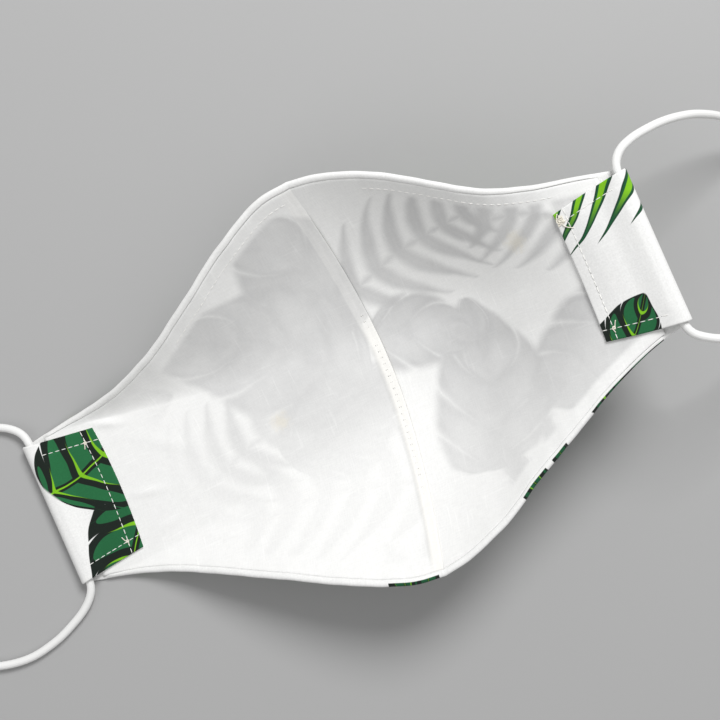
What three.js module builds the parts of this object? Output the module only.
// A cloth face mask of two shaped halves, opened out and lying on its outer face, with the cup upwards.
//
// Millimetres, +Z up. X runs along the mask, from the casing that lies on the table to the one that
// stands clear of it. Y runs from the chin edge to the nose edge. The origin is on the table, in the
// middle of the mask without its ear loops.
//
// Each half is a bowl-shaped sheet. A place on it has two numbers: along, from 0 at the centre seam to
// 1 at the fold of the casing, and across, from -1 at the chin edge to 1 at the nose edge. The sheet
// that they name is the outer face of the mask. Cloth is laid on it inwards, by a height above it.
import * as THREE from "three";

// The whole mask
const SPAN = 234; // from the fold of one casing to the fold of the other
const NOSE_REACH = 73.5; // from the middle to the nose end of the seam, seen from above
const CHIN_REACH = 73.5; // and to its chin end
const RIM_HEIGHT = 36; // of both ends of the seam above the table
const RAISED_HEIGHT = 48; // of the fold of the raised casing
const BOWL_POWER = 1.7; // how the walls rise from the pressed bottom to the rim: 1 straight, 2 round

// The centre seam
const SEAM_FOOT = 20; // how far its foot lies from the middle, towards the raised casing
const SEAM_LEAN = 10.8; // how far its two ends lean back from there
const SEAM_TURN = 2.2; // how much the nose end lies nearer the raised casing than the chin end
const SEAM_ALLOWANCE = 4.5; // width of the strip of spare cloth pressed to one side of the seam
const SEAM_PLY = 0.6; // how much that strip stands up under the lining
const SEAM_EDGE = 1; // how near the seam the cloth of both halves leans the same way

// Cloth
const OUTER_CLOTH = 1;
const LINING_CLOTH = 1;
const CLEARANCE = 0.3; // between pieces that touch
const TURNED_EDGE = 1.6; // width of the outer cloth that is turned up along the two long edges

// Casings, the ends of the outer cloth folded in over the lining
const CASING_LENGTH = 55; // along the fold
const CASING_WIDTH = 27.5; // from the fold to the inner edge
const CASING_TAPER = 3.6; // how much each end of the inner edge lies inside the end of the fold
const CASING_LANDING = 13; // from the fold to where the flap comes down on the lining
const RAISED_CASING_SHIFT = 2; // how far the raised casing sits towards the nose edge
const LINING_INSET = 9; // from the fold to the end of the lining, under the flap
const TUNNEL_ROOM = 0.5; // round the elastic in the fold

// Ear loops of round elastic
const CORD_DIAMETER = 3;

// How finely each surface is faceted
const ALONG_STEPS = 12; // along a half
const ACROSS_STEPS = 13; // and across it, inside its edges
const FOLD_STEPS = 8; // round the fold of a casing
const SLOPE_STEPS = 5; // down its flap to where that lands on the lining
const LANDED_STEPS = 4; // and from there to the flap's edge
const CASING_STEPS = 12; // along a casing
const CORD_SIDES = 8;
const CORD_STEPS = 46;
const MIDDLE_STEPS = 200; // for measuring the middle line of a half
const NEARBY = 0.002; // between the places, along and across, that give the slope of the cloth

// One row for each section across a half, at that share of its length.
// nose, chin: how far the edge stands out, from 1 at the end of the seam to 0 at the end of the casing.
// rise: the rim's height, from 0 for that of the seam's end to 1 for that of the casing.
// belly: the height of the middle, as a share of the casing's. flat: the share of the width pressed flat.
const LYING_SECTIONS = [
  { along: 0.0, nose: 1.0, chin: 1.0, rise: 0.0, belly: 0.0, flat: 0.14 },
  { along: 0.1, nose: 0.965, chin: 0.965, rise: 0.02, belly: 0.0, flat: 0.19 },
  { along: 0.25, nose: 0.77, chin: 0.81, rise: 0.14, belly: 0.0, flat: 0.26 },
  { along: 0.4, nose: 0.517, chin: 0.614, rise: 0.32, belly: 0.0, flat: 0.34 },
  { along: 0.55, nose: 0.285, chin: 0.425, rise: 0.54, belly: 0.0, flat: 0.5 },
  { along: 0.7, nose: 0.139, chin: 0.245, rise: 0.78, belly: 0.0, flat: 0.7 },
  { along: 0.85, nose: 0.073, chin: 0.105, rise: 0.96, belly: 0.0, flat: 0.88 },
  { along: 1.0, nose: 0.0, chin: 0.0, rise: 1.0, belly: 0.0, flat: 1.0 },
];
const RAISED_SECTIONS = [
  { along: 0.0, nose: 1.0, chin: 1.0, rise: 0.0, belly: 0.0, flat: 0.14 },
  { along: 0.1, nose: 0.96, chin: 0.957, rise: 0.1, belly: 0.015, flat: 0.12 },
  { along: 0.25, nose: 0.825, chin: 0.825, rise: 0.22, belly: 0.09, flat: 0.1 },
  { along: 0.4, nose: 0.6, chin: 0.623, rise: 0.33, belly: 0.25, flat: 0.1 },
  { along: 0.55, nose: 0.352, chin: 0.44, rise: 0.46, belly: 0.51, flat: 0.1 },
  { along: 0.7, nose: 0.198, chin: 0.249, rise: 0.59, belly: 0.76, flat: 0.1 },
  { along: 0.85, nose: 0.1, chin: 0.095, rise: 0.74, belly: 0.93, flat: 0.1 },
  { along: 1.0, nose: 0.0, chin: 0.0, rise: 1.0, belly: 1.0, flat: 0.1 },
];

// The two halves of the mask
const LYING = {
  name: "left",
  side: -1,
  height: 0,
  shift: 0,
  sections: LYING_SECTIONS,
};
const RAISED = {
  name: "right",
  side: 1,
  height: RAISED_HEIGHT,
  shift: RAISED_CASING_SHIFT,
  sections: RAISED_SECTIONS,
};

// Routes of the ear loops, chosen by hand. Each starts and ends in the middle of its casing's tunnel.
const LEFT_LOOP_ROUTE = [
  [-114.1, 0.8, 3],
  [-114.1, 9, 3],
  [-114.1, 18, 3],
  [-114.1, 26.5, 3],
  [-115.2, 31.8, 2.6],
  [-118.8, 35.8, 2],
  [-124.2, 38.6, 1.6],
  [-133, 41, 1.5],
  [-143.5, 42, 1.5],
  [-155, 40.4, 1.5],
  [-166.5, 35.6, 1.5],
  [-176, 27.5, 1.5],
  [-183, 17, 1.5],
  [-187, 4.5, 1.5],
  [-187, -8.2, 1.5],
  [-183.5, -20, 1.5],
  [-177, -30, 1.5],
  [-168, -38, 1.5],
  [-157.5, -43, 1.5],
  [-146, -44.8, 1.5],
  [-135, -43, 1.5],
  [-126.3, -39.6, 1.6],
  [-119.8, -35.9, 2],
  [-115.5, -31.4, 2.6],
  [-114.1, -26.3, 3],
  [-114.1, -18, 3],
  [-114.1, -9, 3],
  [-114.1, -0.8, 3],
];
const RIGHT_LOOP_ROUTE = [
  [113.4, 2.8, 50.3],
  [113.4, 11, 50.3],
  [113.4, 20, 50.3],
  [113.4, 28.4, 50.3],
  [114.5, 32.8, 50.3],
  [117.5, 35.9, 49.9],
  [122.3, 37.8, 48.9],
  [128.2, 38.8, 46.8],
  [135.6, 39.3, 43.3],
  [143, 38.9, 38.8],
  [150.6, 37.6, 33.4],
  [160, 34.4, 25.2],
  [168.8, 29.4, 16.6],
  [176.3, 21.6, 8.6],
  [181.3, 11.2, 3.4],
  [183.1, 1, 1.7],
  [182, -9.6, 2],
  [178, -19.6, 5.6],
  [171.2, -28, 12.8],
  [162, -34, 21.8],
  [151.4, -37.4, 31],
  [140.8, -38.4, 39],
  [131.4, -37.6, 44.6],
  [123.8, -35.6, 48.1],
  [118.2, -32.6, 49.8],
  [114.6, -29.3, 50.3],
  [113.3, -24.6, 50.3],
  [113.4, -16, 50.3],
  [113.4, -8, 50.3],
  [113.4, 1.2, 50.3],
];

// Values worked out from the sizes above
const CORD_RADIUS = CORD_DIAMETER / 2;
const FOLD_RADIUS = CORD_RADIUS + TUNNEL_ROOM + OUTER_CLOTH; // outside of the fold round the cord
const LINING_BOTTOM = OUTER_CLOTH + CLEARANCE;
const LINING_TOP = LINING_BOTTOM + LINING_CLOTH;
const FLAP_TOP = LINING_TOP + CLEARANCE + OUTER_CLOTH;

// A column of a section table at any place along, on a smooth curve through the rows.
function columnAt(sections, column, along) {
  const last = sections.length - 1;
  let row = 0;
  while (row < last - 1 && along > sections[row + 1].along) {
    row += 1;
  }
  const slopeAt = (i) => {
    const before = sections[Math.max(i - 1, 0)];
    const after = sections[Math.min(i + 1, last)];
    return (after[column] - before[column]) / (after.along - before.along);
  };
  const from = sections[row];
  const to = sections[row + 1];
  const length = to.along - from.along;
  const t = (along - from.along) / length;
  const start = slopeAt(row) * length;
  const end = slopeAt(row + 1) * length;
  const rise = to[column] - from[column];
  return from[column] + t * start + t * t * (3 * rise - 2 * start - end) + t * t * t * (start + end - 2 * rise);
}

// How far the nose or chin edge of a half lies from the middle.
function edgeReach(half, along, across) {
  const towardsNose = across >= 0;
  const reach = towardsNose ? NOSE_REACH : CHIN_REACH;
  const casing = CASING_LENGTH / 2 + (towardsNose ? half.shift : -half.shift);
  const share = columnAt(half.sections, towardsNose ? "nose" : "chin", along);
  return casing + (reach - casing) * share;
}

function seamX(across) {
  return SEAM_FOOT - SEAM_LEAN * across * across + SEAM_TURN * across;
}

// A place on the outer face of a half.
function sheetPoint(half, along, across) {
  const foldX = (half.side * SPAN) / 2;
  const fromSeam = seamX(across);
  const belly = half.height * columnAt(half.sections, "belly", along);
  const rim = THREE.MathUtils.lerp(RIM_HEIGHT, half.height, columnAt(half.sections, "rise", along));
  const flat = columnAt(half.sections, "flat", along);
  const wall = Math.abs(across) <= flat ? 0 : (Math.abs(across) - flat) / (1 - flat);
  return new THREE.Vector3(
    THREE.MathUtils.lerp(fromSeam, foldX, along),
    across * edgeReach(half, along, across),
    belly + (rim - belly) * wall ** BOWL_POWER,
  );
}

// The direction from the outer face to the inside of the cup.
function inward(half, along, across) {
  const a0 = Math.max(along - NEARBY, 0);
  const a1 = Math.min(along + NEARBY, 1);
  const b0 = Math.max(across - NEARBY, -1);
  const b1 = Math.min(across + NEARBY, 1);
  const lengthwise = sheetPoint(half, a1, across).sub(sheetPoint(half, a0, across));
  const crosswise = sheetPoint(half, along, b1).sub(sheetPoint(half, along, b0));
  return lengthwise.cross(crosswise).multiplyScalar(half.side).normalize();
}

// At the seam both halves lean the same way, so their edges stay side by side.
function inwardAtSeam(across) {
  return inward(LYING, 0, across).add(inward(RAISED, 0, across)).normalize();
}

function clothPoint(half, along, across, height) {
  const atSeam = along < alongFromSeam(half, SEAM_EDGE);
  const direction = atSeam ? inwardAtSeam(across) : inward(half, along, across);
  return sheetPoint(half, along, across).addScaledVector(direction, height);
}

// The length of each half's middle line up to some places along it.
for (const half of [LYING, RAISED]) {
  half.lengths = [0];
  for (let i = 1; i <= MIDDLE_STEPS; i += 1) {
    const from = sheetPoint(half, (i - 1) / MIDDLE_STEPS, 0);
    const to = sheetPoint(half, i / MIDDLE_STEPS, 0);
    half.lengths.push(half.lengths[i - 1] + from.distanceTo(to));
  }
}

// The place along a half that lies at a distance from its seam, measured on the cloth.
function alongFromSeam(half, distance) {
  let i = 1;
  while (i < MIDDLE_STEPS && half.lengths[i] < distance) {
    i += 1;
  }
  const before = half.lengths[i - 1];
  const share = (distance - before) / (half.lengths[i] - before);
  return (i - 1 + share) / MIDDLE_STEPS;
}

function alongFromFold(half, distance) {
  return alongFromSeam(half, half.lengths[MIDDLE_STEPS] - distance);
}

function evenly(from, to, count) {
  return Array.from({ length: count }, (_, i) => THREE.MathUtils.lerp(from, to, i / (count - 1)));
}

// One closed sheet of cloth. outerFace and innerFace give the points of its two faces over a grid.
function sheetGeometry(rows, columns, side, outerFace, innerFace) {
  const points = [];
  for (const face of [outerFace, innerFace]) {
    for (let i = 0; i < rows; i += 1) {
      for (let j = 0; j < columns; j += 1) {
        points.push(face(i, j));
      }
    }
  }
  const outer = (i, j) => i * columns + j;
  const inner = (i, j) => rows * columns + i * columns + j;
  const triangles = [];
  const quad = (a, b, c, d) => {
    triangles.push(side > 0 ? [a, b, c] : [a, c, b]);
    triangles.push(side > 0 ? [a, c, d] : [a, d, c]);
  };
  for (let i = 0; i < rows - 1; i += 1) {
    for (let j = 0; j < columns - 1; j += 1) {
      quad(inner(i, j), inner(i + 1, j), inner(i + 1, j + 1), inner(i, j + 1));
      quad(outer(i, j), outer(i, j + 1), outer(i + 1, j + 1), outer(i + 1, j));
    }
  }
  const lastRow = rows - 1;
  const lastColumn = columns - 1;
  for (let j = 0; j < lastColumn; j += 1) {
    quad(outer(0, j), inner(0, j), inner(0, j + 1), outer(0, j + 1));
    quad(outer(lastRow, j), outer(lastRow, j + 1), inner(lastRow, j + 1), inner(lastRow, j));
  }
  for (let i = 0; i < lastRow; i += 1) {
    quad(outer(i, 0), outer(i + 1, 0), inner(i + 1, 0), inner(i, 0));
    quad(outer(i, lastColumn), inner(i, lastColumn), inner(i + 1, lastColumn), outer(i + 1, lastColumn));
  }
  const geometry = new THREE.BufferGeometry();
  geometry.setAttribute("position", new THREE.Float32BufferAttribute(points.flatMap((p) => p.toArray()), 3));
  geometry.setIndex(triangles.flat());
  geometry.computeVertexNormals();
  return geometry;
}

// The share across that lies at a distance inside the nose or chin edge.
function acrossInside(half, along, sign, distance) {
  return sign * (1 - distance / edgeReach(half, along, sign));
}

// Places across a half: some distances inside both edges, and even steps between them that every layer
// of cloth shares, so that the layers lie parallel.
function acrossPlaces(half, along, distances) {
  const chin = distances.map((d) => acrossInside(half, along, -1, d));
  const nose = distances.map((d) => acrossInside(half, along, 1, d)).reverse();
  const innermost = TURNED_EDGE + 2 * CLEARANCE;
  const from = acrossInside(half, along, -1, innermost);
  const to = acrossInside(half, along, 1, innermost);
  const middle = evenly(from, to, ACROSS_STEPS + 2).slice(1, -1);
  return [...chin, ...middle, ...nose];
}

// Places along a half that every layer of cloth shares, from the seam to the end of the turned edges.
function alongStations(half) {
  const hem = alongFromFold(half, LINING_INSET + TURNED_EDGE);
  const seam = alongFromSeam(half, CLEARANCE / 2);
  const strip = [SEAM_ALLOWANCE, SEAM_ALLOWANCE + CLEARANCE].map((d) => alongFromSeam(half, d));
  if (half === LYING) {
    return [seam, strip[0], ...evenly(strip[1], hem, ALONG_STEPS)];
  }
  return evenly(seam, hem, ALONG_STEPS + 1);
}

// Outer panel: printed cloth from the seam to the fold, with its long edges turned up round the lining.
function outerPanel(half) {
  const turned = alongStations(half);
  const stations = [
    ...turned,
    alongFromFold(half, LINING_INSET),
    alongFromFold(half, FOLD_RADIUS + CLEARANCE),
  ];
  const edge = [0, TURNED_EDGE, TURNED_EDGE + CLEARANCE];
  const places = stations.map((along) => acrossPlaces(half, along, edge));
  const columns = places[0].length;
  const turnedUp = (i, j) => i < turned.length && (j < 2 || j > columns - 3);
  return sheetGeometry(
    stations.length,
    columns,
    half.side,
    (i, j) => clothPoint(half, stations[i], places[i][j], 0),
    (i, j) => clothPoint(half, stations[i], places[i][j], turnedUp(i, j) ? LINING_TOP : OUTER_CLOTH),
  );
}

// Lining: plain cloth inside the outer panel. On the lying half it covers the pressed seam allowance.
function liningPanel(half) {
  const stations = [...alongStations(half), alongFromFold(half, LINING_INSET)];
  const places = stations.map((along) => acrossPlaces(half, along, [TURNED_EDGE + 2 * CLEARANCE]));
  const ply = (i) => (half === LYING && i < 2 ? SEAM_PLY : 0);
  return sheetGeometry(
    stations.length,
    places[0].length,
    half.side,
    (i, j) => clothPoint(half, stations[i], places[i][j], LINING_BOTTOM),
    (i, j) => clothPoint(half, stations[i], places[i][j], LINING_TOP + ply(i)),
  );
}

// The outer face of the casing in section: how far from the fold, how high, and which way the cloth faces.
function casingSection() {
  const round = evenly(-Math.PI / 2, -1.5 * Math.PI, FOLD_STEPS).map((angle) => ({
    inwards: FOLD_RADIUS * (1 + Math.cos(angle)),
    height: FOLD_RADIUS * (1 + Math.sin(angle)),
    backInwards: -Math.cos(angle),
    backHeight: -Math.sin(angle),
  }));
  const sloping = evenly(FOLD_RADIUS, CASING_LANDING, SLOPE_STEPS).slice(1);
  const flat = evenly(CASING_LANDING, CASING_WIDTH, LANDED_STEPS).slice(1);
  const landed = (inwards) => THREE.MathUtils.smoothstep(inwards, FOLD_RADIUS, CASING_LANDING);
  const flap = [...sloping, ...flat].map((inwards) => ({
    inwards,
    height: THREE.MathUtils.lerp(2 * FOLD_RADIUS, FLAP_TOP, landed(inwards)),
    backInwards: 0,
    backHeight: -1,
  }));
  return [...round, ...flap];
}

// Casing: the end of the outer cloth, folded over the elastic and laid flat on the lining.
function casing(half) {
  const section = casingSection();
  const lengthwise = evenly(-1, 1, CASING_STEPS);
  const pointAt = (station, share, depth) => {
    const inwards = station.inwards + station.backInwards * depth;
    const along = alongFromFold(half, inwards);
    const taper = (CASING_TAPER * station.inwards) / CASING_WIDTH;
    const y = half.shift + share * (CASING_LENGTH / 2 - taper);
    const across = y / edgeReach(half, along, y);
    return clothPoint(half, along, across, station.height + station.backHeight * depth);
  };
  return sheetGeometry(
    section.length,
    lengthwise.length,
    half.side,
    (i, j) => pointAt(section[i], lengthwise[j], 0),
    (i, j) => pointAt(section[i], lengthwise[j], OUTER_CLOTH),
  );
}

// Ear loop: one round elastic cord along its route.
function earLoop(route) {
  const section = new THREE.Shape();
  section.absarc(0, 0, CORD_RADIUS, 0, 2 * Math.PI);
  const path = new THREE.CatmullRomCurve3(route.map((point) => new THREE.Vector3(...point)));
  return new THREE.ExtrudeGeometry(section, {
    steps: CORD_STEPS,
    curveSegments: CORD_SIDES,
    extrudePath: path,
    bevelEnabled: false,
  });
}

function piece(name, geometry, material) {
  const mesh = new THREE.Mesh(geometry, material);
  mesh.name = name;
  return mesh;
}

const printedCotton = new THREE.MeshStandardMaterial({ color: 0x3f7a50, roughness: 0.9, metalness: 0 });
const whiteCotton = new THREE.MeshStandardMaterial({ color: 0xf1f1ee, roughness: 0.95, metalness: 0 });
const whiteElastic = new THREE.MeshStandardMaterial({ color: 0xf7f7f5, roughness: 0.8, metalness: 0 });

const mask = new THREE.Group();
for (const half of [LYING, RAISED]) {
  mask.add(piece(`outer_panel_${half.name}`, outerPanel(half), printedCotton));
  mask.add(piece(`lining_${half.name}`, liningPanel(half), whiteCotton));
  mask.add(piece(`casing_${half.name}`, casing(half), printedCotton));
}
mask.add(piece("ear_loop_left", earLoop(LEFT_LOOP_ROUTE), whiteElastic));
mask.add(piece("ear_loop_right", earLoop(RIGHT_LOOP_ROUTE), whiteElastic));

export default mask;
